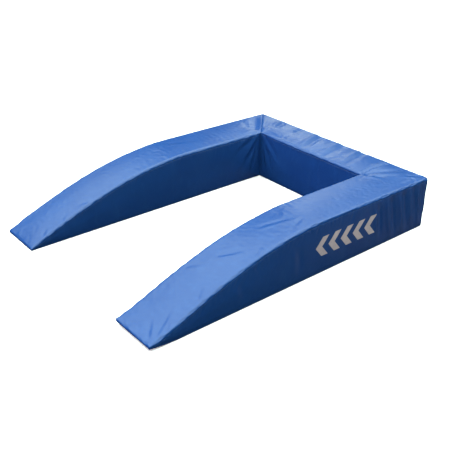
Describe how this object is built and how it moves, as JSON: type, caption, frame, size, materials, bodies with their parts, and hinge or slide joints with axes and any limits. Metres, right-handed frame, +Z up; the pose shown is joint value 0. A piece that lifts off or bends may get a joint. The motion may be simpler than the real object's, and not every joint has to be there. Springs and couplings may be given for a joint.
{
  "type": "springboard surround mat",
  "caption": "U-shaped springboard surround mat: convex wedge arms fall to thin toes from a cross block, leaving a bay for the board; foam blocks in a zipped coated-fabric cover.",
  "frame": {"origin": "on the floor under the middle of the whole object's bounding box, which takes in the zip slider's bail at the back", "axes": "+Z up; +Y from the arms' toes to the cross block; +X towards the right arm"},
  "size_m": [1.02, 1.4158, 0.225],
  "materials": {
    "cover": "satin",
    "foam": "matte",
    "base": "matte",
    "zip_tape": "matte",
    "zip_teeth": "satin",
    "zip_metal": "satin"
  },
  "bodies": {
    "mat": {"left_arm_foam": "foam", "right_arm_foam": "foam", "cross_foam": "foam", "left_arm_top_panel": "cover", "cross_top_panel": "cover", "right_arm_top_panel": "cover", "left_outer_side_panel": "cover", "left_inner_side_panel": "cover", "right_inner_side_panel": "cover", "right_outer_side_panel": "cover", "cross_inner_panel": "cover", "back_upper_panel": "cover", "back_lower_panel": "cover", "left_arm_base_panel": "base", "right_arm_base_panel": "base", "cross_base_panel": "base", "zip_upper_tape": "zip_tape", "zip_lower_tape": "zip_tape", "zip_upper_teeth": "zip_teeth", "zip_lower_teeth": "zip_teeth", "zip_start_stop": "zip_metal", "zip_end_stop": "zip_metal", "left_zip_end_tab": "cover", "right_zip_end_tab": "cover"},
    "slider": {"zip_slider": "zip_metal"},
    "pull": {"zip_pull": "zip_metal"}
  },
  "joints": [
    {"name": "zip_run", "type": "slide", "parent": "mat", "child": "slider", "axis": [-1, 0, 0], "range_m": [0, 0.92]},
    {"name": "pull_swing", "type": "hinge", "parent": "slider", "child": "pull", "pos_m": [0.4604, 0.70515, 0.045], "axis": [0, 0, -1], "range_deg": [0, 180]}
  ]
}
